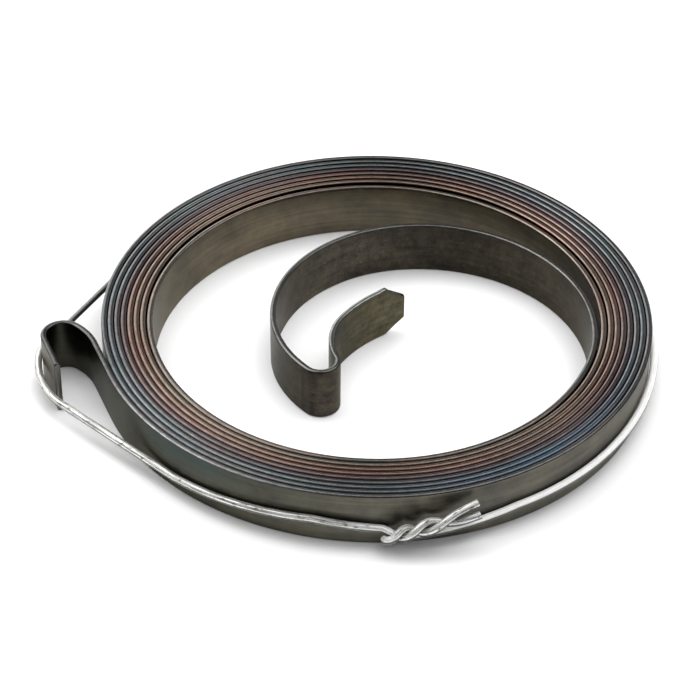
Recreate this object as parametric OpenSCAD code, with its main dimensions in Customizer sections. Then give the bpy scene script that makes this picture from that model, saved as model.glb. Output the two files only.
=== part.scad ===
// Recoil starter spring: one flat steel strip wound into a tight spiral coil.
// The outer end is folded back into a hook that catches the starter housing.
// The inner end runs free as a bowed tail with a narrow fold and a bent tongue that catches the pulley hub.
// A twisted wire tie goes round coil and hook and keeps the wound spring shut.

/* [Strip] */
// Height of the strip, which is the height of the coil
strip_height = 6.7; // [5.5:0.1:10]
// Thickness of the strip
strip_thickness = 0.65; // [0.4:0.05:0.8]
// Width of the slant that stands for each rolled edge of the strip
edge_width = 0.2; // [0.1:0.01:0.3]

/* [Coil] */
// Outside diameter of the coil where the strip leaves it for the hook
coil_diameter = 65; // [62:1:90]
// Full turns in the coil
full_turns = 8; // [5:1:9]
// Gap between neighbouring turns at the front, where they lie tightest
turn_gap = 0.06; // [0.04:0.01:0.12]
// Extra gap between neighbouring turns at the back, where they fan out
back_slack = 0.17; // [0:0.01:0.2]
// Further gap at the back between the innermost turn and the one outside it
inner_slack = 0.35; // [0:0.05:0.5]

/* [Outer hook] */
// Angle round the coil at which the strip leaves it
hook_leave_angle = 202; // [196:1:210]
// Straight run between the coil and the hook
hook_run = 6; // [4:0.5:9]
// Middle radius of the easy bend that leads into the hook
hook_ease_radius = 7.8; // [5:0.1:12]
// Angle of the easy bend
hook_ease_angle = 30; // [15:1:40]
// Middle radius of the tight fold
hook_fold_radius = 2.2; // [1.5:0.1:3]
// Angle of the tight fold
hook_fold_angle = 150; // [135:1:160]
// Straight leg past the fold
hook_leg = 5.4; // [4:0.1:8]

/* [Inner tail] */
// Middle radius of the tail where it peels off the coil, less than the radius of the innermost turn
tail_peel = 0.5; // [0.2:0.1:1.5]
// Angle over which the tail peels off
tail_peel_angle = 70; // [60:1:80]
// Middle radius of the bow at the back of the tail
tail_bow_radius = 19.6; // [18:0.1:20.5]
// Angle of the bow
tail_bow_angle = 117; // [110:1:122]
// Middle radius of the bend that brings the tail down its far side
tail_side_radius = 17.4; // [16:0.1:18.5]
// Angle of that bend
tail_side_angle = 79; // [72:1:84]
// Middle radius of the last bend before the narrow fold
tail_foot_radius = 15; // [13:0.5:17]
// Angle of the last bend
tail_foot_angle = 48; // [42:1:54]

/* [Inner tongue] */
// Middle radius of the narrow fold
fold_radius = 2; // [1.4:0.1:2.6]
// Angle of the narrow fold
fold_angle = 159; // [150:1:168]
// Middle radius of the neck, which bends the other way
neck_radius = 7.9; // [5:0.1:10]
// Angle of the neck
neck_angle = 55; // [45:1:65]
// Middle radius of the tongue, which bends the same way as the neck
tongue_radius = 17; // [12:0.5:25]
// Angle of the tongue
tongue_angle = 33; // [20:1:40]
// Length of the slanted corners at the end of the tongue
tongue_corner_length = 2.6; // [1:0.1:4]
// Height of the slanted corners at the end of the tongue
tongue_corner_height = 1.7; // [0.5:0.1:2.4]

/* [Wire tie] */
// Diameter of the wire
wire_diameter = 0.9; // [0.6:0.05:1.1]
// Gap between the wire and the strip, and between the twisted strands
wire_clearance = 0.06; // [0.04:0.01:0.12]
// Radius of the easy bow that the wire makes round the hook
tie_bow_radius = 10.3; // [8:0.1:14]
// How far the tie lies below the middle of the strip at the tip of the hook
tie_hook_sink = 1.15; // [0:0.05:1.5]
// How far the tie lies below the middle of the strip just past the twist
tie_side_sink = 0.7; // [0:0.05:1]
// Length of the twisted end
twist_length = 9.5; // [8:0.1:14]
// Turn of one strand round the other, in degrees
twist_turn = 490; // [360:10:630]
// Height that the twisted end climbs from its root to its cut tip
twist_climb = 2.4; // [1:0.05:2.6]
// How far the cut tips spread apart from the axis of the twist
twist_spread = 0.12; // [0:0.01:0.4]

/* [Hidden] */

steel_colour = [0.36, 0.36, 0.35];
zinc_colour = [0.78, 0.79, 0.80];

// Deepest gap allowed between a true arc and its straight facets, and the widest facet of a tight bend
facet_sag = 0.04;
facet_limit = 12;
// Small angle used to find the direction of the spiral
look_ahead = 0.5;
// Largest share of the strip's thickness that one rolled edge takes
edge_share = 0.45;
edge = min(edge_width, edge_share * strip_thickness);

front_angle = 270;
coil_end_angle = front_angle + 360 * full_turns;
inner_turn_angle = coil_end_angle - 360;

wire_sides = 8;
wire_reach = wire_diameter / 2 + wire_clearance;
wire_height = strip_height / 2;
// Step round the coil between rings of the wire
wire_step = 5;
// Places round the coil where the two sides of the tie begin to sink towards the twist
tie_left_sink_angle = 258;
tie_right_sink_angle = 298;
// Place round the coil of the root of the twist, and where the left side leaves the wall for it
twist_root_angle = 273.1;
tie_left_end_angle = 271.5;
// Distance from the coil's wall to the axis of the twist
twist_offset = wire_reach + wire_diameter + 2 * wire_clearance;
// How far both sides of the tie and the twist lie below the middle at the root, as shares of the room there
wire_room = wire_height - wire_diameter / 2;
root_left_sink = 0.28 * wire_room;
root_right_sink = 0.79 * wire_room;
root_twist_sink = 0.31 * wire_room;
// Angle round the axis of the twist at which the right strand starts, with the left one across from it
right_strand_angle = -3;
left_strand_angle = right_strand_angle + 180;
// Share of the twist that the left strand joins late, because it comes in from behind
left_strand_start = 0.07;
// Rings along each strand of the twist
twist_rings = 25;

function unit(a) = [cos(a), sin(a)];
function direction(v) = atan2(v.y, v.x);
function wrapped(a) = a - 360 * floor(a / 360);
function reverse(list) = [for (i = [len(list) - 1 : -1 : 0]) list[i]];
function last(list) = list[len(list) - 1];
function facet_angle(radius) = min(facet_limit, 2 * acos(1 - facet_sag / radius));

// Spiral of the coil, with the angle counted on through all turns
function slack_share(a) = pow((1 + sin(a)) / 2, 2);
function turn_pitch(a) = strip_thickness + turn_gap + back_slack * slack_share(a);
function coil_radius(a) =
    coil_diameter / 2 - strip_thickness / 2
    - turn_pitch(a) * (a - hook_leave_angle) / 360
    - (a > inner_turn_angle ? inner_slack * slack_share(a) : 0);
function coil_point(a) = coil_radius(a) * unit(a);
function coil_heading(a) = direction(coil_point(a + look_ahead) - coil_point(a - look_ahead));

// A place on the strip's middle line is [x, y, heading], and a left turn is positive
function ahead(place, distance) = concat([place.x, place.y] + distance * unit(place.z), place.z);
function bend_centre(place, radius, turn) = [place.x, place.y] + sign(turn) * radius * unit(place.z + 90);
function bent(place, radius, turn) =
    let (heading = place.z + turn)
    concat(bend_centre(place, radius, turn) + sign(turn) * radius * unit(heading - 90), heading);
function bend_run(place, radius, turn) =
    let (steps = ceil(abs(turn) / facet_angle(radius)))
    [for (i = [1 : steps]) bent(place, radius, turn * i / steps)];
function bends(place, list, i = 0) =
    i == len(list) ? [] :
    let (run = bend_run(place, list[i][0], list[i][1]))
    concat(run, bends(last(run), list, i + 1));
function turned_back(place) = [place.x, place.y, place.z + 180];

// Outer hook, followed outwards from the coil
hook_root = concat(coil_point(hook_leave_angle), coil_heading(hook_leave_angle) + 180);
hook_ease_start = ahead(hook_root, hook_run);
hook_fold_start = bent(hook_ease_start, hook_ease_radius, hook_ease_angle);
hook_fold_centre = bend_centre(hook_fold_start, hook_fold_radius, hook_fold_angle);
hook_leg_start = bent(hook_fold_start, hook_fold_radius, hook_fold_angle);
hook_tip = ahead(hook_leg_start, hook_leg);
hook_tip_corner = [hook_tip.x, hook_tip.y] - strip_thickness / 2 * unit(hook_tip.z + 90);
hook_line = concat(
    [hook_ease_start],
    bend_run(hook_ease_start, hook_ease_radius, hook_ease_angle),
    bend_run(hook_fold_start, hook_fold_radius, hook_fold_angle),
    [hook_tip]
);

// Coil, followed inwards from the root of the hook, with the facets of neighbouring turns side by side
coil_step = 360 / ceil(360 / facet_angle(coil_diameter / 2));
coil_angles = [for (a = [hook_leave_angle : coil_step : coil_end_angle - coil_step / 2]) a];
coil_line = [for (a = concat(coil_angles, coil_end_angle)) concat(coil_point(a), coil_heading(a))];

// Tail and tongue, followed inwards from the end of the coil, and the stretch with the slanted corners
corner_angle = tongue_corner_length / tongue_radius * 180 / PI;
tail_line = bends(last(coil_line), [
    [coil_radius(coil_end_angle) - tail_peel, tail_peel_angle],
    [tail_bow_radius, tail_bow_angle],
    [tail_side_radius, tail_side_angle],
    [tail_foot_radius, tail_foot_angle],
    [fold_radius, fold_angle],
    [neck_radius, -neck_angle],
    [tongue_radius, corner_angle - tongue_angle]
]);
corner_line = bend_run(last(tail_line), tongue_radius, -corner_angle);

strip_line = concat(reverse([for (p = hook_line) turned_back(p)]), coil_line, tail_line);

// Section of the strip at a place, with all four edges slanted and the height trimmed above and below
function strip_ring(place, trim) =
    let (
        wall = strip_thickness / 2,
        flat = wall - edge,
        tall = strip_height / 2 - trim,
        short = tall - edge,
        section = [
            [wall, -short], [wall, short], [flat, tall], [-flat, tall],
            [-wall, short], [-wall, -short], [-flat, -tall], [flat, -tall]
        ]
    )
    [for (s = section) concat([place.x, place.y] + s.x * unit(place.z - 90), strip_height / 2 + s.y)];

corner_steps = len(corner_line);
strip_rings = concat(
    [for (p = strip_line) strip_ring(p, 0)],
    [for (i = [1 : corner_steps]) strip_ring(corner_line[i - 1], tongue_corner_height * i / corner_steps)]
);

// Wire tie, followed clockwise like a belt that has coil and hook on its right
function coil_wall(a) = coil_radius(a) + strip_thickness / 2;
function belt_heading(from, from_radius, to, to_radius) =
    wrapped(direction(to - from) - asin((from_radius - to_radius) / norm(to - from)));
function beside_coil(a, out, z) = concat((coil_wall(a) + out) * unit(a), z);

coil_centre = [0, 0];
fold_belt_radius = hook_fold_radius + strip_thickness / 2 + wire_reach;
front_belt_radius = coil_wall(hook_leave_angle) + wire_reach;
back_belt_radius = coil_wall(hook_leave_angle + 360) + wire_reach;
// The bow round the hook just clears the corner of its tip and runs smoothly into the belt round its fold
fold_to_tip = hook_tip_corner - hook_fold_centre;
bow_to_fold = tie_bow_radius - fold_belt_radius;
bow_to_tip = tie_bow_radius - wire_reach;
bow_along = (pow(bow_to_fold, 2) - pow(bow_to_tip, 2) + pow(norm(fold_to_tip), 2)) / (2 * norm(fold_to_tip));
bow_across = sqrt(pow(bow_to_fold, 2) - pow(bow_along, 2));
bow_centre = hook_fold_centre
    + bow_along * unit(direction(fold_to_tip)) + bow_across * unit(direction(fold_to_tip) + 90);
// Headings of the belt where it reaches the bow, passes the tip, runs into the fold and leaves for the coil
to_bow = belt_heading(coil_centre, front_belt_radius, bow_centre, tie_bow_radius);
past_tip = wrapped(direction(hook_tip_corner - bow_centre) - 90);
to_fold = wrapped(direction(hook_fold_centre - bow_centre) - 90);
to_coil = belt_heading(hook_fold_centre, fold_belt_radius, coil_centre, back_belt_radius);
front_touch_angle = to_bow + 90;
back_touch_angle = to_coil + 90 + 360;

// Twisted end, with each strand at its own starting angle round the axis
function twist_angle(u) = twist_turn * u * (2 - u);
function twist_strand(u, start) =
    let (
        a = twist_root_angle + u * twist_length / (coil_wall(twist_root_angle) + twist_offset) * 180 / PI,
        axis_height = wire_height - root_twist_sink + twist_climb * u,
        radius = wire_reach + twist_spread * u,
        round_axis = radius * unit(start + twist_angle(u))
    )
    beside_coil(a, twist_offset + round_axis.x, axis_height + round_axis.y);
function twist_run(start, from) = [
    for (i = [0 : twist_rings]) twist_strand(from + (1 - from) * i / twist_rings, start)
];

function steps_between(from, to, size) =
    let (n = ceil(abs(to - from) / size))
    [for (i = [0 : n]) from + (to - from) * i / n];
// Heights of the tie along its left side, round the hook and along its right side
function left_height(a) = lookup(a, [
    [front_touch_angle, wire_height - tie_hook_sink],
    [tie_left_sink_angle, wire_height],
    [twist_root_angle, wire_height - root_left_sink]
]);
function hook_height(heading) = lookup(heading, [
    [to_coil, wire_height],
    [past_tip, wire_height - tie_hook_sink]
]);
function right_height(a) = lookup(a, [
    [twist_root_angle, wire_height - root_right_sink],
    [tie_right_sink_angle, wire_height - tie_side_sink],
    [back_touch_angle, wire_height]
]);

tie_left = [for (a = steps_between(tie_left_end_angle, front_touch_angle, wire_step))
    beside_coil(a, wire_reach, left_height(a))];
tie_bow = [for (h = steps_between(to_bow, to_fold, 2 * wire_step))
    concat(bow_centre + tie_bow_radius * unit(h + 90), hook_height(h))];
tie_fold = [for (h = steps_between(to_fold, to_coil, 2 * wire_step))
    concat(hook_fold_centre + fold_belt_radius * unit(h + 90), hook_height(h))];
tie_right = [for (a = steps_between(back_touch_angle, twist_root_angle, wire_step))
    beside_coil(a, wire_reach, right_height(a))];
// The right side doubles back at the root in a half circle that leads into its strand
return_radius = (twist_offset + wire_reach * cos(right_strand_angle) - wire_reach) / 2;
return_turn = return_radius / coil_wall(twist_root_angle) * 180 / PI;
return_heights = [right_height(twist_root_angle), twist_strand(0, right_strand_angle).z];
tie_return = [for (t = [30 : 30 : 150])
    beside_coil(
        twist_root_angle - return_turn * sin(t),
        wire_reach + return_radius * (1 - cos(t)),
        return_heights[0] + (return_heights[1] - return_heights[0]) * t / 180
    )];
tie_line = concat(
    reverse(twist_run(left_strand_angle, left_strand_start)),
    tie_left, tie_bow, tie_fold, tie_right, tie_return,
    twist_run(right_strand_angle, 0)
);

// Round section of the wire at one point of its line
function tangent(line, i) =
    let (step = line[min(i + 1, len(line) - 1)] - line[max(i - 1, 0)])
    step / norm(step);
function wire_ring(line, i) =
    let (
        forward = tangent(line, i),
        side = cross(forward, [0, 0, 1]) / norm(cross(forward, [0, 0, 1])),
        up = cross(side, forward)
    )
    [for (k = [0 : wire_sides - 1])
        let (c = wire_diameter / 2 * unit(360 * k / wire_sides))
        line[i] + c.x * side + c.y * up];

// Solid through a list of sections, closed by a flat cap at each end
module sweep(rings) {
    sides = len(rings[0]);
    points = [for (r = rings) each r];
    walls = [
        for (i = [0 : len(rings) - 2], k = [0 : sides - 1])
            let (next = (k + 1) % sides, low = i * sides, high = low + sides)
            [low + k, low + next, high + next, high + k]
    ];
    first_cap = [for (k = [sides - 1 : -1 : 0]) k];
    last_cap = [for (k = [0 : sides - 1]) len(points) - sides + k];
    polyhedron(points, concat(walls, [first_cap, last_cap]));
}

module spring() {
    color(steel_colour)
        sweep(strip_rings);
}

module tie_wire() {
    color(zinc_colour)
        sweep([for (i = [0 : len(tie_line) - 1]) wire_ring(tie_line, i)]);
}

spring();
tie_wire();
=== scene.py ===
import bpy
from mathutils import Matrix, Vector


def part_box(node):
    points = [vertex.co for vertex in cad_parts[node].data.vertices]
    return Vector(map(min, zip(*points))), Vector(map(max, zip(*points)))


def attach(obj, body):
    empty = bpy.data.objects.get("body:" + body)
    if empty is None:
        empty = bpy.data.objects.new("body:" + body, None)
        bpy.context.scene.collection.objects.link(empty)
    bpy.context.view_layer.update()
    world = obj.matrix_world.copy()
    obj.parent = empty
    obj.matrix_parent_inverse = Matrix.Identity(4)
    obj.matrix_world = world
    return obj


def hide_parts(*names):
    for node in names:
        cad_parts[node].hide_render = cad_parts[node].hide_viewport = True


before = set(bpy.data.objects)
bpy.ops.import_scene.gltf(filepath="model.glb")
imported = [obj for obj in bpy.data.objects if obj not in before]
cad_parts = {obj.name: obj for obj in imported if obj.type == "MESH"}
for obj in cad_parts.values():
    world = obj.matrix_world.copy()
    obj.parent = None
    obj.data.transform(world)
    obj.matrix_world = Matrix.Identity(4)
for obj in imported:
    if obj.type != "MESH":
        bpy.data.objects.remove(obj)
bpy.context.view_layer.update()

import bpy
import numpy as np
from mathutils import Matrix, Vector

MM = 0.001

# Strip and coil, in millimetres and degrees, as in the part's source
STRIP_HEIGHT = (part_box("spring")[1].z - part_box("spring")[0].z) / MM
STRIP_THICKNESS = 0.65
COIL_DIAMETER = 65
FULL_TURNS = 8
TURN_GAP = 0.06
BACK_SLACK = 0.17
INNER_SLACK = 0.35
FRONT_ANGLE = 270
COIL_END_ANGLE = FRONT_ANGLE + 360 * FULL_TURNS
INNER_TURN_ANGLE = COIL_END_ANGLE - 360

# Outer hook
HOOK_LEAVE_ANGLE = 202
HOOK_RUN = 6
HOOK_EASE = (7.8, 30)
HOOK_FOLD = (2.2, 150)
HOOK_LEG = 5.4

# Inner tail and tongue: each bend is its middle radius and its turn, left positive
TAIL_PEEL = 0.5
TAIL_PEEL_TURN = 70
TAIL_BENDS = [(19.6, 117), (17.4, 79), (15, 48), (2, 159), (7.9, -55), (17, -33)]
TONGUE_CORNER_LENGTH = 2.6
TONGUE_CORNER_HEIGHT = 1.7
BURR_HEIGHT = 0.22
BURR_REACH = 0.3

# Rolled edges of the strip: a shallow crown up to a tilt in degrees, then a small corner round to the wall
CROWN_TILT = 42
CROWN_STEPS = 6
CORNER_RADIUS = 0.06
CORNER_STEPS = 3
CROWN_RADIUS = (STRIP_THICKNESS / 2 - CORNER_RADIUS) / np.sin(np.radians(CROWN_TILT)) + CORNER_RADIUS
EDGE_RISE = CROWN_RADIUS - (CROWN_RADIUS - CORNER_RADIUS) * np.cos(np.radians(CROWN_TILT))
WALL_LEVELS = np.array([-0.9, -0.45, 0, 0.45, 0.9])

# Fineness of the surfaces
COIL_STEP = 2.0
CHORD = 0.5
BEND_STEP = 6.0
LOOK_AHEAD = 0.5
HOOK_RUN_STEPS = 12
HOOK_LEG_STEPS = 11

# Wire tie
WIRE_DIAMETER = 0.9
WIRE_CLEARANCE = 0.06
WIRE_REACH = WIRE_DIAMETER / 2 + WIRE_CLEARANCE
WIRE_HEIGHT = STRIP_HEIGHT / 2
WIRE_SIDES = 16
WIRE_STEP = 1.0
WIRE_SPACING = 0.2
WIRE_EASE = 0.2
WIRE_EASE_SPAN = 3
WIRE_ROOM = WIRE_HEIGHT - WIRE_DIAMETER / 2
TIE_BOW_RADIUS = 10.3
TIE_HOOK_SINK = 1.15
TIE_SIDE_SINK = 0.7
TIE_LEFT_SINK_ANGLE = 258
TIE_RIGHT_SINK_ANGLE = 298
TIE_LEFT_END_ANGLE = 271.5
TWIST_ROOT_ANGLE = 273.1
TWIST_LENGTH = 9.5
TWIST_TURN = 490
TWIST_CLIMB = 2.4
TWIST_SPREAD = 0.12
TWIST_OFFSET = WIRE_REACH + WIRE_DIAMETER + 2 * WIRE_CLEARANCE
TWIST_RINGS = 90
ROOT_LEFT_SINK = 0.28 * WIRE_ROOM
ROOT_RIGHT_SINK = 0.79 * WIRE_ROOM
ROOT_TWIST_SINK = 0.31 * WIRE_ROOM
RIGHT_STRAND_ANGLE = -3
LEFT_STRAND_START = 0.07
# The half circle at the root is drawn between these angles
ROOT_TURN = (15, 165)
ROOT_RINGS = 11
# Behind the hook the wire has painted light and shade round it: it starts this far back, is full after its reach,
# and fades to the right. Its painted light falls from the side at this angle round the wire
PAINTED_SIDE_LIGHT_START = -3
PAINTED_SIDE_LIGHT_REACH = 4
PAINTED_SIDE_LIGHT_FADE = 15
LIT_SIDE = 142
# The wire is scuffed on the left of the front: from this far right it starts, and is full after its reach
SCUFF_START = 6
SCUFF_REACH = 10
# Both ends of the wire are twisted: this much of each, with a short change over
TWISTED_LENGTH = 11.5
TWISTED_CHANGE = 1.5

# Camera, fitted to the photograph: millimetres and degrees, lens in pixels of a 700 pixel frame
FRAME_PIXELS = 700
LENS_PIXELS = 2364
SENSOR_MM = 36
CAMERA_ELEVATION = 38.884
CAMERA_DISTANCE = 279.9
CAMERA_TARGET = np.array([-2.865, 0.708, 0])
CAMERA_ROLL = 0.632
CAMERA_CLIP = 0.01

# Windings between which one stretch of the strip goes over into the next
HOOK_TO_COIL = (-0.02, 0.03)
LEFT_TO_RIGHT = (0.12, 0.28)
COIL_TO_TAIL = (8.3, 8.55)
TAIL_TO_TONGUE = (8.74, 8.79)

# Painted light and shade on the two walls by the winding: under 1 darker, over 1 lighter
OUTER_PAINTED_LIGHT = [
    (-0.075, 0.85), (-0.045, 0.7), (0, 0.75), (0.04, 0.9), (0.075, 1.0), (0.13, 1.15), (0.2, 1.6), (0.27, 1.65),
    (0.35, 2.1), (0.5, 1.5), (8.4, 0.7), (8.6, 1.15), (8.66, 1.0), (8.69, 0.8), (8.73, 0.95), (8.78, 1.25),
]
INNER_PAINTED_LIGHT = [
    (0, 1), (7.3, 1), (7.6, 1.3), (7.75, 1.4), (7.95, 1.8), (8.15, 1.65), (8.3, 1.2), (8.42, 0.85), (8.49, 0.54),
    (8.52, 0.56), (8.6, 1.4),
]
# Levels of a wall's foot and top, and the share of painted light at each: the foot is painted lighter than the top
FOOT_PAINTED_LIGHT = (0.05, 0.95, 1.7, 1.04)

# Places of marks, each a middle and a reach: by the winding, by the angle round the coil, or by the lean of the
# edge's normal
TEAL_PLACE = (0.075, 0.028)
# The rim marks a painted highlight: a thin light line on the outer edge of the outermost turn, at the lean that
# mirrors the lights
RIM_HIGHLIGHT_PLACE = (0.08, 0.05)
RIM_HIGHLIGHT_LEAN = (0.80, 0.05)
FOLD_MARKS = [(8.717, 0.0012), (8.7225, 0.0014)]
FOLD_MARK_DEPTH = 0.8
BLUE_PLACE = (308, 18)
MATT_PLACE = (228, 17)

# Temper colours of the rolled edge, from the outer turns to the inner ones
TEMPER_TURNS = 9.0
TEMPER = [
    (0.0, (0.200, 0.202, 0.202)),
    (0.7, (0.188, 0.196, 0.200)),
    (1.2, (0.188, 0.206, 0.210)),
    (2.2, (0.212, 0.236, 0.241)),
    (2.8, (0.205, 0.215, 0.222)),
    (3.3, (0.165, 0.150, 0.156)),
    (3.8, (0.180, 0.145, 0.146)),
    (4.4, (0.230, 0.172, 0.158)),
    (5.3, (0.302, 0.214, 0.180)),
    (6.0, (0.306, 0.215, 0.174)),
    (7.0, (0.290, 0.228, 0.182)),
    (7.6, (0.292, 0.241, 0.199)),
    (8.15, (0.260, 0.235, 0.205)),
    (8.4, (0.190, 0.190, 0.180)),
]
TEMPER_WANDER = (0.3, 0.7, -0.25, 0.25)
# The deepest blue lies on the right of the front, and starts and ends between these turns
BLUE = (0.165, 0.228, 0.290)
BLUE_TURNS = ((0.75, 1.0), (2.45, 2.75))
HOOK_EDGE = (0.150, 0.150, 0.147)
# The tongue's edge is painted light: a painted highlight on its corners
TONGUE_EDGE_HIGHLIGHT = (0.40, 0.405, 0.39)
# Colour of the painted highlight along the outer rim
RIM_HIGHLIGHT = (0.90, 0.92, 0.90)
RIM_HIGHLIGHT_BREAKS = (0.35, 0.6, 0.4, 1.0)
# Lean of the normal over which the wall's colour goes over into the edge's
EDGE_LEAN = (0.25, 0.7)
CROWN_ROUGHNESS = 0.24
MATT_ROUGHNESS = 0.38

# Colours of the walls and of their marks
OUTER_WALL = (0.056, 0.056, 0.047)
INNER_WALL = (0.058, 0.051, 0.039)
RIGHT_WALL = (0.053, 0.052, 0.047)
TAIL_WALL = (0.041, 0.037, 0.033)
TONGUE_WALL = (0.047, 0.044, 0.031)
TEAL = (0.038, 0.054, 0.053)
TEAL_LEVELS = (0.35, 0.95)
TEAL_BREAKS = (0.38, 0.58, 0.35, 1.0)
SPECK = (0.16, 0.16, 0.14)
SPECK_RANGE = (0.66, 0.74)
BEND_MARK = (0.012, 0.011, 0.010)
BEND_MARK_RANGE = (0.38, 0.55)
WALL_GRAZE = (0.70, 0.70, 0.68)
EDGE_GRAZE = (1.0, 1.0, 1.0)
WALL_ROUGHNESS = (0.2, 0.8, 0.28, 0.40)
STREAK_RELIEF = (0.00004, 0.25)

# Colours of the wire by its scratches or by its painted lit side, and its painted shade from top (0) to bottom (1)
CLEAN_ZINC = [(0.3, (0.82, 0.82, 0.81)), (0.52, (0.97, 0.97, 0.95))]
WORN_ZINC = [(0.38, (0.36, 0.36, 0.34)), (0.58, (0.94, 0.94, 0.91))]
PAINTED_SIDE_LIGHT_ZINC = [
    (0.1, (0.030, 0.030, 0.027)), (0.35, (0.07, 0.07, 0.065)), (0.55, (0.26, 0.26, 0.25)),
    (0.75, (0.6, 0.6, 0.58)), (0.9, (0.95, 0.95, 0.93)),
]
SHADED_UNDER_ZINC = (0.07, 0.07, 0.065)
NICK = (0.16, 0.155, 0.14)
NICK_RANGE = (0.59, 0.63)
NICK_SHARE = 0.9
# Where the painted shade starts and is full, each on the clean wire and on the worked one
SHADE_START = (0.24, 0.36)
SHADE_FULL = (0.44, 0.56)
# A painted light line along the bottom of the scuffed wire
LIT_BELOW = (0.64, 0.76, 0.0, 0.7)
WIRE_METAL = (0.05, 0.6)
WIRE_ROUGHNESS = (0.3, 0.7, 0.18, 0.35)
SCRATCH_RELIEF = (0.00002, 0.4)

# Patterns: how fast each changes by values of the surface, its detail, its roughness and a shift that sets it apart
PATTERNS = {
    "wander": ({"run": 0.06}, 2.0, 0.6, 0.0),
    "patches": ({"run": 0.11, "winding": 2.0}, 3.0, 0.6, 0.0),
    "rubs_and_glints": ({"run": 0.9, "crown": 3.0, "inner_side": 3.0}, 4.0, 0.7, 0.0),
    "streaks": ({"run": 0.05, "level": 11.0, "inner_side": 7.0}, 5.0, 0.65, 0.0),
    "clouds": ({"run": 0.16, "level": 1.3, "inner_side": 5.0}, 4.0, 0.6, 0.0),
    "blotches": ({"run": 0.75, "level": 4.5, "inner_side": 9.0}, 4.0, 0.65, 0.0),
    "mottles": ({"run": 2.4, "level": 13.0, "inner_side": 9.0}, 4.0, 0.7, 0.0),
    "specks": ({"run": 4.5, "level": 26.0, "inner_side": 3.0}, 2.0, 0.5, 0.0),
    "scratches": ({"run": 0.25, "round": 14.0}, 4.0, 0.7, 0.0),
    "nicks": ({"run": 0.9, "round": 7.0}, 3.0, 0.6, 4.0),
}
# Tints that multiply a colour along a pattern
TINTS = {
    "patches": [(0.35, (1.08, 0.94, 0.93)), (0.65, (0.93, 1.02, 1.03))],
    # The rubs darken and lighten the edges at random; their brightest stop is a painted glint
    "rubs_and_glints": [(0.3, (0.72, 0.72, 0.72)), (0.6, (1.15, 1.15, 1.15)), (0.74, (1.6, 1.6, 1.6))],
    "streaks": [(0.3, (0.72, 0.72, 0.74)), (0.7, (1.22, 1.20, 1.13))],
    "clouds": [(0.3, (0.72, 0.73, 0.76)), (0.7, (1.28, 1.25, 1.15))],
    "blotches": [(0.36, (0.70, 0.64, 0.66)), (0.64, (1.28, 1.28, 1.16))],
    "mottles": [(0.38, (0.72, 0.70, 0.70)), (0.62, (1.22, 1.20, 1.10))],
}
# Shares of a tint or of the specks on the coil and on the tail, and how much less mottled the tongue is
PATCH_SHARE = (1.0, 0.2)
BLOTCH_SHARE = (0.2, 0.8)
MOTTLE_SHARE = (0.1, 0.5)
SPECK_SHARE = (0.12, 0.5)
TONGUE_SMOOTH = 0.3

# Table and light
FLOOR_SIDE = 2.0
FLOOR_COLOUR = (0.93, 0.93, 0.93, 1)
FLOOR_ROUGHNESS = 0.7
FLOOR_GLOSS = 0.2
WORLD_COLOUR = (1.0, 1.0, 1.0, 1)
WORLD_STRENGTH = 0.07
# Each light: place in millimetres, its two sides in metres, watts, and whether the metal mirrors it
LIGHTS = {
    "back_card": ((-100, 600, 180), (1.5, 0.36), 0.14, True),
    "left_card": ((-230, 494, 198), (0.40, 0.38), 0.68, True),
    "right_card": ((285, 455, 217), (0.36, 0.38), 0.08, True),
    "back_softbox": ((-345, 245, 680), (0.55, 0.65), 1.75, True),
    "left_softbox": ((-609, 163, 493), (0.6, 0.6), 1.15, True),
    "right_softbox": ((293, 169, 725), (0.5, 0.6), 1.0, True),
    "back_fill": ((290, 300, 860), (1.1, 1.1), 9.0, False),
    "left_fill": ((-520, 180, 560), (0.6, 0.6), 1.6, False),
    "front_fill": ((200, -480, 750), (1.0, 1.0), 3.6, False),
}


def unit(degrees):
    """Points of the unit circle at the given angles."""
    radians = np.radians(degrees)
    return np.stack([np.cos(radians), np.sin(radians)], axis=-1)


def direction(vector):
    """Angle of a flat vector, in degrees."""
    return np.degrees(np.arctan2(vector[..., 1], vector[..., 0]))


def slack_share(angle):
    """Squared half-wave round the coil: none at the front, all at the back."""
    return ((1 + np.sin(np.radians(angle))) / 2) ** 2


def coil_radius(angle):
    """Spiral of the strip's middle: the radius falls by one pitch a turn, and the pitch grows to the back."""
    share = slack_share(angle)
    pitch = STRIP_THICKNESS + TURN_GAP + BACK_SLACK * share
    fallen = pitch * (angle - HOOK_LEAVE_ANGLE) / 360
    inner = np.where(angle > INNER_TURN_ANGLE, INNER_SLACK * share, 0)
    return (COIL_DIAMETER - STRIP_THICKNESS) / 2 - fallen - inner


def coil_places(angle):
    """Places (x, y, heading) on the spiral, with the heading from two nearby points."""
    angle = np.atleast_1d(np.asarray(angle, float))
    point = coil_radius(angle)[:, None] * unit(angle)
    near = [coil_radius(a)[:, None] * unit(a) for a in (angle + LOOK_AHEAD, angle - LOOK_AHEAD)]
    return np.column_stack([point, direction(near[0] - near[1])])


def bend_centre(place, radius, turn):
    """Centre of a bend that starts at a place."""
    return place[:2] + np.sign(turn) * radius * unit(place[2] + 90)


def bend_places(place, radius, turn):
    """Places along a circle that starts at a place, a left turn positive."""
    steps = int(np.ceil(max(np.radians(abs(turn)) * radius / CHORD, abs(turn) / BEND_STEP)))
    heading = place[2] + turn * np.arange(1, steps + 1) / steps
    point = bend_centre(place, radius, turn) + np.sign(turn) * radius * unit(heading - 90)
    return np.column_stack([point, heading])


def ahead(place, distances):
    """Places straight on from a place."""
    point = place[:2] + np.outer(distances, unit(place[2]))
    return np.column_stack([point, np.full(len(point), place[2])])


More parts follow.
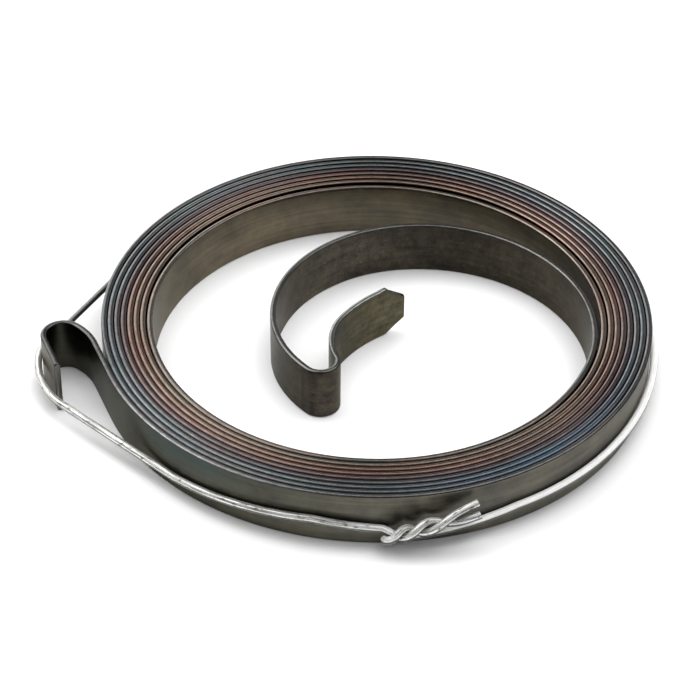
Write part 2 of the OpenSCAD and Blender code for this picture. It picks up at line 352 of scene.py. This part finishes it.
def hook_places():
    """The hook, followed outwards from the coil: a straight run, an easy bend, a tight fold and a leg."""
    root = coil_places(HOOK_LEAVE_ANGLE)[0] + np.array([0, 0, 180])
    run = ahead(root, np.linspace(0, HOOK_RUN, HOOK_RUN_STEPS + 1)[1:])
    ease = bend_places(run[-1], *HOOK_EASE)
    fold = bend_places(ease[-1], *HOOK_FOLD)
    leg = ahead(fold[-1], np.linspace(0, HOOK_LEG, HOOK_LEG_STEPS + 1)[1:])
    fold_centre = bend_centre(ease[-1], *HOOK_FOLD)
    return np.concatenate([run, ease, fold, leg]), fold_centre


def tail_places(start):
    """The tail, followed inwards from the end of the coil: one bend after another."""
    peel = (coil_radius(COIL_END_ANGLE) - TAIL_PEEL, TAIL_PEEL_TURN)
    runs = []
    for radius, turn in [peel] + TAIL_BENDS:
        runs.append(bend_places(start, radius, turn))
        start = runs[-1][-1]
    return np.concatenate(runs)


def strip_places():
    """The whole middle line from the hook's tip to the tongue's tip, and the winding at each place.
    The winding counts turns from the root of the hook; it is below 0 on the hook and goes on along the tail."""
    hook = hook_places()[0]
    hook = np.flip(hook, axis=0) + np.array([0, 0, 180])
    steps = int(np.ceil((COIL_END_ANGLE - HOOK_LEAVE_ANGLE) / COIL_STEP))
    angles = np.linspace(HOOK_LEAVE_ANGLE, COIL_END_ANGLE, steps + 1)
    coil = coil_places(angles)
    tail = tail_places(coil[-1])
    line = np.concatenate([hook, coil, tail])
    run = length_along(line[:, :2])
    first, last = len(hook), len(hook) + len(coil) - 1
    turn_length = np.pi * COIL_DIAMETER
    winding = np.concatenate([
        (run[:first] - run[first]) / turn_length,
        (angles - HOOK_LEAVE_ANGLE) / 360,
        (COIL_END_ANGLE - HOOK_LEAVE_ANGLE) / 360 + (run[last + 1:] - run[last]) / turn_length,
    ])
    return line, run, winding


def length_along(points):
    """Length of a line up to each of its points."""
    steps = np.linalg.norm(np.diff(points, axis=0), axis=1)
    return np.concatenate([[0], np.cumsum(steps)])


def edge_quarter():
    """A quarter of the section, from the top of a wall to the middle of the crown: a small corner arc that goes
    over into a shallow one. Gives each point's place across, its height past the wall and its normal's lean."""
    corner = np.radians(np.linspace(90, CROWN_TILT, CORNER_STEPS))
    crown = np.radians(np.linspace(CROWN_TILT, 0, CROWN_STEPS))[1:]
    reach = STRIP_THICKNESS / 2 - CORNER_RADIUS
    across = np.concatenate([reach + CORNER_RADIUS * np.sin(corner), CROWN_RADIUS * np.sin(crown)])
    past = np.concatenate([CORNER_RADIUS * np.cos(corner), EDGE_RISE - CROWN_RADIUS * (1 - np.cos(crown))])
    return across, past, np.cos(np.concatenate([corner, crown]))


def edge_section():
    """Section of the strip with crowned edges: four quarters joined by straight walls.
    Gives, for each point, its place across, its height past the straight wall, its share of that wall's
    half height, and how far its normal leans up or down."""
    across, past, lean = edge_quarter()
    ends = np.ones(len(across))
    up, wall = np.array([across, past, ends, lean]), np.zeros((4, len(WALL_LEVELS)))
    wall[0], wall[2] = STRIP_THICKNESS / 2, WALL_LEVELS
    down = up * np.array([[1], [-1], [-1], [-1]])
    other_side, turned = np.array([[-1], [1], [1], [1]]), np.array([[-1], [1], [-1], [1]])
    return np.concatenate([
        down[:, ::-1], wall, up, (up * other_side)[:, -2::-1], wall * turned, (down * other_side)[:, :-1]
    ], axis=1)


def bell(values, middle, reach):
    """A bell curve: 1 at its middle, falling off within its reach."""
    return np.exp(-0.5 * ((values - middle) / reach) ** 2)


def grid_faces(rings, sides):
    """Quads between neighbouring rings of a closed section, and a cap at each end."""
    i, k = np.meshgrid(np.arange(rings - 1), np.arange(sides), indexing="ij")
    low, step = i * sides, (k + 1) % sides
    quads = np.stack([low + k, low + step, low + sides + step, low + sides + k], axis=-1).reshape(-1, 4)
    caps = [list(range(sides - 1, -1, -1)), list(range((rings - 1) * sides, rings * sides))]
    return quads.tolist() + caps


def new_piece(name, points, faces, marks, node, slot, material):
    """A smooth mesh in metres with flat end caps and named values at its points.
    It stands for a node and rides with the part."""
    mesh = bpy.data.meshes.new(name)
    mesh.from_pydata((points * MM).tolist(), [], faces)
    smooth = np.ones(len(mesh.polygons), bool)
    smooth[-2:] = False
    mesh.polygons.foreach_set("use_smooth", smooth)
    for mark, values in marks.items():
        mesh.attributes.new(mark, "FLOAT", "POINT").data.foreach_set("value", values.astype(np.float32).ravel())
    mesh.materials.append(material)
    mesh.update()
    piece = bpy.data.objects.new(name, mesh)
    bpy.context.scene.collection.objects.link(piece)
    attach(piece, "root")
    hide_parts(node)


def angle_from(winding, angle):
    """How far each place on the coil lies past an angle, in degrees either way."""
    return (winding % 1 * 360 + HOOK_LEAVE_ANGLE - angle + 180) % 360 - 180


def each_ring(values, shape):
    """Values along a line, the same all round its section."""
    return np.broadcast_to(values[:, None], shape)


def painted_light_at(winding, stops):
    """Painted light and shade on a wall at each winding, even between its stops."""
    return np.interp(winding, *zip(*stops))[:, None]


def strip_marks(run, winding, up, across, lean):
    """Values at the strip's points that its finish follows."""
    shape = up.shape
    inner = np.broadcast_to(across > 0, shape)
    blued, matt = (bell(angle_from(winding, angle), 0, reach) for angle, reach in (BLUE_PLACE, MATT_PLACE))
    bent = FOLD_MARK_DEPTH * sum(bell(winding, *place) for place in FOLD_MARKS)
    return {
        "winding": each_ring(winding, shape),
        "run": each_ring(run, shape),
        "level": up / STRIP_HEIGHT,
        "crown": np.broadcast_to(np.abs(lean), shape),
        "inner_side": inner,
        "tone": np.where(inner, painted_light_at(winding, INNER_PAINTED_LIGHT), painted_light_at(winding, OUTER_PAINTED_LIGHT)),
        "blued": each_ring(blued, shape),
        "matt": each_ring(matt, shape),
        "bent": each_ring(bent, shape),
        "teal": bell(winding, *TEAL_PLACE)[:, None] * ~inner,
        "rim": bell(winding, *RIM_HIGHLIGHT_PLACE)[:, None] * bell(lean, *RIM_HIGHLIGHT_LEAN) * ~inner,
    }


def strip_surface():
    """The edge section carried along the middle line, upright all the way.
    Over the last stretch of the tongue its height shrinks evenly, which slants both corners, and a small burr
    stands up at the upper one."""
    line, run, winding = strip_places()
    across, past, share, lean = edge_section()
    to_tip = run[-1] - run
    slant = np.clip(1 - to_tip / TONGUE_CORNER_LENGTH, 0, 1)
    half_height = STRIP_HEIGHT / 2 - TONGUE_CORNER_HEIGHT * slant
    left = unit(line[:, 2] + 90)
    flat = line[:, None, :2] + across[None, :, None] * left[:, None, :]
    burr = BURR_HEIGHT * bell(to_tip, TONGUE_CORNER_LENGTH, BURR_REACH)[:, None] * (share == 1)
    up = STRIP_HEIGHT / 2 + (half_height[:, None] - EDGE_RISE) * share + past + burr
    points = np.concatenate([flat, up[..., None]], axis=-1).reshape(-1, 3)
    return points, grid_faces(*up.shape), strip_marks(run, winding, up, across, lean)


def wrapped(angle):
    """An angle brought between 0 and 360 degrees."""
    return angle % 360


def belt_heading(start, start_radius, end, end_radius):
    """Heading of the straight run of a belt between two circles on its right."""
    apart = np.linalg.norm(end - start)
    return wrapped(direction(end - start) - np.degrees(np.arcsin((start_radius - end_radius) / apart)))


def coil_wall(angle):
    """Radius of the coil's outside wall."""
    return coil_radius(angle) + STRIP_THICKNESS / 2


def beside_coil(angle, out, height):
    """Points at a distance outside the coil's wall."""
    angle = np.asarray(angle, float)
    flat = (coil_wall(angle) + out)[:, None] * unit(angle)
    return np.column_stack([flat, np.broadcast_to(height, angle.shape)])


def beside_centre(centre, radius, heading, height):
    """Points of a belt round a circle, at its headings."""
    return np.column_stack([centre + radius * unit(heading + 90), height])


def steps_between(start, end, size):
    """Even steps from one angle to another."""
    return np.linspace(start, end, int(np.ceil(abs(end - start) / size)) + 1)


def twist_strand(share, start):
    """One strand of the twist: a helix whose turning slows towards the tip, along an axis that follows the wall."""
    angle = TWIST_ROOT_ANGLE + np.degrees(share * TWIST_LENGTH / (coil_wall(TWIST_ROOT_ANGLE) + TWIST_OFFSET))
    round_axis = (WIRE_REACH + TWIST_SPREAD * share)[:, None] * unit(start + TWIST_TURN * share * (2 - share))
    height = WIRE_HEIGHT - ROOT_TWIST_SINK + TWIST_CLIMB * share + round_axis[:, 1]
    return beside_coil(angle, TWIST_OFFSET + round_axis[:, 0], height)


def bow_centre_of(tip_corner, fold_centre, fold_radius):
    """Centre of the bow round the hook: it clears the tip's corner by the wire's reach and touches the fold's belt
    from outside, so it lies where two circles cross, on the coil's side."""
    apart = tip_corner - fold_centre
    length = np.linalg.norm(apart)
    to_fold, to_tip = TIE_BOW_RADIUS - fold_radius, TIE_BOW_RADIUS - WIRE_REACH
    along = (to_fold ** 2 - to_tip ** 2 + length ** 2) / (2 * length)
    across = np.sqrt(to_fold ** 2 - along ** 2)
    return fold_centre + along * unit(direction(apart)) + across * unit(direction(apart) + 90)


def doubled_back(start_height, end_height):
    """The half circle at the root, in which the right side turns back into its strand and climbs evenly."""
    radius = (TWIST_OFFSET + WIRE_REACH * unit(RIGHT_STRAND_ANGLE)[0] - WIRE_REACH) / 2
    turn = np.linspace(*ROOT_TURN, ROOT_RINGS)
    across, along = unit(turn).T
    angle = TWIST_ROOT_ANGLE - np.degrees(radius * along / coil_wall(TWIST_ROOT_ANGLE))
    height = start_height + (end_height - start_height) * turn / 180
    return beside_coil(angle, WIRE_REACH + radius * (1 - across), height)


def tie_route():
    """The tie from one cut tip to the other: a belt round coil and hook, with a strand of the twist at each end.
    Its height goes evenly from one named level to the next."""
    hook, fold_centre = hook_places()
    tip = hook[-1]
    tip_corner = tip[:2] - STRIP_THICKNESS / 2 * unit(tip[2] + 90)
    coil_centre = np.zeros(2)
    fold_radius = HOOK_FOLD[0] + STRIP_THICKNESS / 2 + WIRE_REACH
    front_radius = coil_wall(HOOK_LEAVE_ANGLE) + WIRE_REACH
    back_radius = coil_wall(HOOK_LEAVE_ANGLE + 360) + WIRE_REACH
    bow_centre = bow_centre_of(tip_corner, fold_centre, fold_radius)
    to_bow = belt_heading(coil_centre, front_radius, bow_centre, TIE_BOW_RADIUS)
    past_tip = wrapped(direction(tip_corner - bow_centre) - 90)
    to_fold = wrapped(direction(fold_centre - bow_centre) - 90)
    to_coil = belt_heading(fold_centre, fold_radius, coil_centre, back_radius)
    hook_height = WIRE_HEIGHT - TIE_HOOK_SINK
    front_touch, back_touch = to_bow + 90, to_coil + 90 + 360
    left = steps_between(TIE_LEFT_END_ANGLE, front_touch, WIRE_STEP)
    left_height = np.interp(left, [front_touch, TIE_LEFT_SINK_ANGLE, TWIST_ROOT_ANGLE],
                            [hook_height, WIRE_HEIGHT, WIRE_HEIGHT - ROOT_LEFT_SINK])
    right = steps_between(back_touch, TWIST_ROOT_ANGLE, WIRE_STEP)
    right_height = np.interp(right, [TWIST_ROOT_ANGLE, TIE_RIGHT_SINK_ANGLE, back_touch],
                             [WIRE_HEIGHT - ROOT_RIGHT_SINK, WIRE_HEIGHT - TIE_SIDE_SINK, WIRE_HEIGHT])
    bow, fold = steps_between(to_bow, to_fold, 2 * WIRE_STEP), steps_between(to_fold, to_coil, 2 * WIRE_STEP)
    bow_height, fold_height = (np.interp(h, [to_coil, past_tip], [WIRE_HEIGHT, hook_height]) for h in (bow, fold))
    left_strand = twist_strand(np.linspace(1, LEFT_STRAND_START, TWIST_RINGS), RIGHT_STRAND_ANGLE + 180)
    right_strand = twist_strand(np.linspace(0, 1, TWIST_RINGS), RIGHT_STRAND_ANGLE)
    return np.concatenate([
        left_strand,
        beside_coil(left, WIRE_REACH, left_height),
        beside_centre(bow_centre, TIE_BOW_RADIUS, bow, bow_height),
        beside_centre(fold_centre, fold_radius, fold, fold_height),
        beside_coil(right, WIRE_REACH, right_height),
        doubled_back(right_height[-1], right_strand[0, 2]),
        right_strand,
    ])


def eased(line, spacing, reach):
    """A line at even spacing, each inner point a bell-weighted mean of its neighbours, so its kinks become bends."""
    run = length_along(line)
    even = np.linspace(0, run[-1], int(run[-1] / spacing) + 1)
    points = np.column_stack([np.interp(even, run, line[:, axis]) for axis in range(3)])
    width = int(np.ceil(WIRE_EASE_SPAN * reach / spacing))
    weights = bell(np.arange(-width, width + 1) * spacing, 0, reach)
    weights /= weights.sum()
    padded = np.concatenate([
        2 * points[0] - points[width:0:-1], points, 2 * points[-1] - points[-2:-width - 2:-1]
    ])
    return np.column_stack([np.convolve(padded[:, axis], weights, "valid") for axis in range(3)])


def wire_surface():
    """A circle carried along the tie's route, square to it."""
    line = eased(tie_route(), WIRE_SPACING, WIRE_EASE)
    run = length_along(line)
    forward = np.gradient(line, axis=0)
    forward /= np.linalg.norm(forward, axis=1)[:, None]
    side = np.cross(forward, [0, 0, 1])
    side /= np.linalg.norm(side, axis=1)[:, None]
    up = np.cross(side, forward)
    round_angle = 360 * np.arange(WIRE_SIDES) / WIRE_SIDES
    round_wire = WIRE_DIAMETER / 2 * unit(round_angle)
    points = line[:, None] + round_wire[None, :, :1] * side[:, None] + round_wire[None, :, 1:] * up[:, None]
    shape = points.shape[:2]
    # Share of painted side light and shade: behind the hook, fading to the right
    dull = np.clip((line[:, 1] - PAINTED_SIDE_LIGHT_START) / PAINTED_SIDE_LIGHT_REACH, 0, 1) * np.clip(-line[:, 0] / PAINTED_SIDE_LIGHT_FADE, 0, 1)
    scuffed = np.clip((SCUFF_START - line[:, 0]) / SCUFF_REACH, 0, 1)
    twisted = np.clip((TWISTED_LENGTH - np.minimum(run, run[-1] - run)) / TWISTED_CHANGE, 0, 1)
    marks = {
        "run": each_ring(run, shape),
        "round": np.broadcast_to(np.arange(WIRE_SIDES) / WIRE_SIDES, shape),
        "dull": each_ring(dull, shape),
        "scuffed": each_ring(scuffed * (1 - twisted), shape),
        "twisted": each_ring(twisted, shape),
        "under": np.broadcast_to(0.5 - round_wire[:, 1] / WIRE_DIAMETER, shape),
        "lit": np.broadcast_to((1 + unit(round_angle - LIT_SIDE)[:, 0]) / 2, shape),
    }
    return points.reshape(-1, 3), grid_faces(*shape), marks


class Finish:
    """A procedural finish: a short way to add nodes and join them."""

    def __init__(self, name):
        self.material = bpy.data.materials.new(name)
        self.material.use_nodes = True
        self.tree = self.material.node_tree
        self.shader = self.tree.nodes["Principled BSDF"]
        self.marks, self.patterns = {}, {}

    def node(self, kind, settings=None, **inputs):
        """Adds a node, sets its settings and sets or joins its inputs."""
        node = self.tree.nodes.new(kind)
        for key, value in (settings or {}).items():
            setattr(node, key, value)
        for key, value in inputs.items():
            self.put(node, key, value)
        return node

    def put(self, node, key, value):
        """Sets one input, or joins it to another node's output. An input is named by name or as in0, in1."""
        socket = node.inputs[int(key[2:])] if key[:2] == "in" and key[2:].isdigit() else node.inputs[key]
        if isinstance(value, bpy.types.NodeSocket):
            self.tree.links.new(value, socket)
        else:
            socket.default_value = value

    def mark(self, name):
        """A named value of the surface."""
        if name not in self.marks:
            self.marks[name] = self.node("ShaderNodeAttribute", {"attribute_name": name}).outputs["Fac"]
        return self.marks[name]

    def math(self, operation, *values):
        """A sum, product or other operation on values."""
        inputs = {f"in{i}": value for i, value in enumerate(values)}
        return self.node("ShaderNodeMath", {"operation": operation}, **inputs).outputs[0]

    def ranged(self, value, low, high, to_low=0.0, to_high=1.0, soft=True):
        """A value brought from one range to another, held at its ends."""
        settings = {"interpolation_type": "SMOOTHSTEP" if soft else "LINEAR"}
        inputs = {"Value": value, "From Min": low, "From Max": high, "To Min": to_low, "To Max": to_high}
        return self.node("ShaderNodeMapRange", settings, **inputs).outputs["Result"]

    def between(self, share, low, high):
        """A value from low to high by a share."""
        return self.ranged(share, 0.0, 1.0, low, high, False)

    def pattern(self, name):
        """A named pattern: soft noise at a place that values of the surface give."""
        if name not in self.patterns:
            shares, detail, roughness, shift = PATTERNS[name]
            axes = [self.math("MULTIPLY", self.mark(mark), share) for mark, share in shares.items()]
            x, y, z = axes + [shift] * (3 - len(axes))
            place = self.node("ShaderNodeCombineXYZ", None, X=x, Y=y, Z=z).outputs[0]
            inputs = {"Vector": place, "Scale": 1.0, "Detail": detail, "Roughness": roughness}
            self.patterns[name] = self.node("ShaderNodeTexNoise", None, **inputs).outputs["Fac"]
        return self.patterns[name]

    def tint(self, colour, name, share=1.0):
        """A colour multiplied by a named pattern's tints, wholly or by a share."""
        return self.mix(share, colour, self.ramp(self.pattern(name), TINTS[name]), "MULTIPLY")

    def mix(self, share, first, second, blend="MIX"):
        """One colour laid over another."""
        node = self.node("ShaderNodeMix", {"data_type": "RGBA", "blend_type": blend}, in0=share)
        for socket, value in ((node.inputs[6], first), (node.inputs[7], second)):
            if isinstance(value, bpy.types.NodeSocket):
                self.tree.links.new(value, socket)
            else:
                socket.default_value = (*value, 1)
        return node.outputs[2]

    def ramp(self, value, stops):
        """Colours along a value."""
        node = self.node("ShaderNodeValToRGB", None, Fac=value)
        elements = node.color_ramp.elements
        while len(elements) < len(stops):
            elements.new(0.5)
        for element, (place, colour) in zip(elements, stops):
            element.position = place
            element.color = (*colour, 1)
        return node.outputs["Color"]

    def bump(self, height, distance, strength):
        """Fine relief on the shader's normal."""
        node = self.node("ShaderNodeBump", None, Height=height, Distance=distance, Strength=strength)
        self.tree.links.new(node.outputs["Normal"], self.shader.inputs["Normal"])


def temper_colour(f, tail, tongue):
    """Colour of the rolled edges: temper colours by the turn, a blue place and patches, a plain hook end, a painted
    highlight on the tongue, and rubs with painted glints.
    """
    winding = f.mark("winding")
    turn = f.math("ADD", winding, f.ranged(f.pattern("wander"), *TEMPER_WANDER))
    colour = f.ramp(f.math("DIVIDE", turn, TEMPER_TURNS), [(at / TEMPER_TURNS, stop) for at, stop in TEMPER])
    blue_starts, blue_ends = BLUE_TURNS
    in_blue = f.math("MULTIPLY", f.ranged(winding, *blue_starts), f.ranged(winding, *blue_ends, 1.0, 0.0))
    colour = f.mix(f.math("MULTIPLY", in_blue, f.mark("blued")), colour, BLUE)
    colour = f.tint(colour, "patches", f.between(tail, *PATCH_SHARE))
    colour = f.mix(f.ranged(winding, *HOOK_TO_COIL, 1.0, 0.0), colour, HOOK_EDGE)
    # Painted highlight on the tongue's edge
    colour = f.mix(tongue, colour, TONGUE_EDGE_HIGHLIGHT)
    # Rubs, with painted glints at their brightest
    return f.tint(colour, "rubs_and_glints")


def wall_colour(f, tail, tongue):
    """Colour of the flat walls by place and side, with patterns and marks laid over it, times the wall's painted
    light and shade.
    """
    winding, level = f.mark("winding"), f.mark("level")
    outside = f.mix(f.ranged(winding, *LEFT_TO_RIGHT), OUTER_WALL, RIGHT_WALL)
    colour = f.mix(f.mark("inner_side"), outside, INNER_WALL)
    colour = f.mix(tail, colour, TAIL_WALL)
    colour = f.mix(tongue, colour, TONGUE_WALL)
    colour = f.tint(colour, "streaks")
    colour = f.tint(colour, "clouds")
    colour = f.tint(colour, "blotches", f.between(tail, *BLOTCH_SHARE))
    smoother = f.math("MULTIPLY", tongue, TONGUE_SMOOTH)
    colour = f.tint(colour, "mottles", f.math("SUBTRACT", f.between(tail, *MOTTLE_SHARE), smoother))
    specks = f.ranged(f.pattern("specks"), *SPECK_RANGE)
    colour = f.mix(f.math("MULTIPLY", specks, f.between(tail, *SPECK_SHARE)), colour, SPECK)
    bent = f.math("MULTIPLY", f.mark("bent"), f.ranged(f.pattern("blotches"), *BEND_MARK_RANGE))
    colour = f.mix(bent, colour, BEND_MARK)
    high = f.math("MULTIPLY", f.ranged(level, *TEAL_LEVELS), f.ranged(f.pattern("clouds"), *TEAL_BREAKS))
    colour = f.mix(f.math("MULTIPLY", f.mark("teal"), high), colour, TEAL)
    # Painted light and shade: each wall is made lighter or darker by its place round the coil and painted lighter
    # towards its foot
    tone = f.math("MULTIPLY", f.mark("tone"), f.ranged(level, *FOOT_PAINTED_LIGHT, False))
    return f.node("ShaderNodeVectorMath", {"operation": "SCALE"}, in0=colour, Scale=tone).outputs[0]


def strip_finish():
    """Hardened strip: olive-grey walls with streaks along it, temper colours on its rolled edges, a painted
    highlight on the outer rim.
    """
    f = Finish("tempered_strip")
    tail, tongue = (f.ranged(f.mark("winding"), *ends) for ends in (COIL_TO_TAIL, TAIL_TO_TONGUE))
    edge = f.ranged(f.mark("crown"), *EDGE_LEAN)
    colour = f.mix(edge, wall_colour(f, tail, tongue), temper_colour(f, tail, tongue))
    # Painted highlight: a light line along the outer rim of the outermost turn
    rim = f.math("MULTIPLY", f.mark("rim"), f.ranged(f.pattern("rubs_and_glints"), *RIM_HIGHLIGHT_BREAKS))
    f.put(f.shader, "Base Color", f.mix(rim, colour, RIM_HIGHLIGHT))
    f.put(f.shader, "Metallic", 1.0)
    f.put(f.shader, "Specular Tint", f.mix(edge, WALL_GRAZE, EDGE_GRAZE))
    wall_roughness = f.ranged(f.pattern("streaks"), *WALL_ROUGHNESS, False)
    crown_roughness = f.between(f.mark("matt"), CROWN_ROUGHNESS, MATT_ROUGHNESS)
    f.put(f.shader, "Roughness", f.between(edge, wall_roughness, crown_roughness))
    f.bump(f.pattern("streaks"), *STREAK_RELIEF)
    return f.material


def wire_finish():
    """Bright zinc-coated wire, scratched along it and worn where worked; painted shade below, painted side light
    behind the hook.
    """
    f = Finish("zinc_wire")
    scuffed, under, scratches = f.mark("scuffed"), f.mark("under"), f.pattern("scratches")
    worked = f.math("MAXIMUM", scuffed, f.mark("twisted"))
    zinc = f.mix(worked, f.ramp(scratches, CLEAN_ZINC), f.ramp(scratches, WORN_ZINC))
    nicks = f.math("MULTIPLY", f.ranged(f.pattern("nicks"), *NICK_RANGE), f.math("MULTIPLY", worked, NICK_SHARE))
    zinc = f.mix(nicks, zinc, NICK)
    # Painted shade on the wire's underside, with a painted light line at the bottom of the scuffed stretch
    shaded = f.ranged(under, *(f.ranged(worked, 0.0, 1.0, *ends) for ends in (SHADE_START, SHADE_FULL)))
    lit_below = f.math("MULTIPLY", scuffed, f.ranged(under, *LIT_BELOW))
    zinc = f.mix(f.math("SUBTRACT", shaded, lit_below), zinc, SHADED_UNDER_ZINC)
    # Behind the hook, painted light and shade by the lit side takes the place of the zinc's colour
    f.put(f.shader, "Base Color", f.mix(f.mark("dull"), zinc, f.ramp(f.mark("lit"), PAINTED_SIDE_LIGHT_ZINC)))
    f.put(f.shader, "Metallic", f.between(worked, *WIRE_METAL))
    f.put(f.shader, "Roughness", f.ranged(scratches, *WIRE_ROUGHNESS, False))
    f.bump(scratches, *SCRATCH_RELIEF)
    return f.material


def floor_finish():
    """Plain pale table top."""
    f = Finish("pale_table")
    f.put(f.shader, "Base Color", FLOOR_COLOUR)
    f.put(f.shader, "Roughness", FLOOR_ROUGHNESS)
    f.put(f.shader, "Specular IOR Level", FLOOR_GLOSS)
    return f.material


def build_floor():
    """A flat square under the coil."""
    half = FLOOR_SIDE / 2
    corners = np.array([[-half, -half, 0], [half, -half, 0], [half, half, 0], [-half, half, 0]])
    mesh = bpy.data.meshes.new("table")
    mesh.from_pydata(corners.tolist(), [], [[0, 1, 2, 3]])
    mesh.materials.append(floor_finish())
    table = bpy.data.objects.new("table", mesh)
    bpy.context.scene.collection.objects.link(table)


def build_lights():
    """Soft lights that face the coil, and a dim world."""
    for name, (place, sides, watts, mirrored) in LIGHTS.items():
        lamp = bpy.data.lights.new(name, "AREA")
        lamp.shape = "RECTANGLE"
        lamp.size, lamp.size_y = sides
        lamp.energy = watts
        light = bpy.data.objects.new(name, lamp)
        light.location = Vector(place) * MM
        light.rotation_euler = (-light.location).to_track_quat("-Z", "Y").to_euler()
        light.visible_glossy = mirrored
        bpy.context.scene.collection.objects.link(light)
    world = bpy.data.worlds.new("studio")
    world.use_nodes = True
    background = world.node_tree.nodes["Background"]
    background.inputs["Color"].default_value = WORLD_COLOUR
    background.inputs["Strength"].default_value = WORLD_STRENGTH
    bpy.context.scene.world = world
    bpy.context.scene.view_settings.view_transform = "Standard"


def build_camera():
    """The photograph's camera: it looks down at the target along its elevation, with a slight roll."""
    lift = np.radians(CAMERA_ELEVATION)
    roll = np.radians(CAMERA_ROLL)
    back = np.array([0, -np.cos(lift), np.sin(lift)])
    level_right = np.array([1.0, 0, 0])
    level_up = np.cross(back, level_right)
    right = level_right * np.cos(roll) + level_up * np.sin(roll)
    up = level_up * np.cos(roll) - level_right * np.sin(roll)
    place = (CAMERA_TARGET + CAMERA_DISTANCE * back) * MM
    data = bpy.data.cameras.new("camera")
    data.sensor_width = SENSOR_MM
    data.lens = LENS_PIXELS / FRAME_PIXELS * SENSOR_MM
    data.clip_start = CAMERA_CLIP
    camera = bpy.data.objects.new("camera", data)
    turned = Matrix(np.column_stack([right, up, back]).tolist()).to_4x4()
    camera.matrix_world = Matrix.Translation(Vector(place)) @ turned
    bpy.context.scene.collection.objects.link(camera)
    bpy.context.scene.camera = camera


build_camera()
new_piece("wound_strip", *strip_surface(), "spring", "strip_steel", strip_finish())
new_piece("twisted_tie", *wire_surface(), "tie_wire", "tie_zinc", wire_finish())
build_floor()
build_lights()
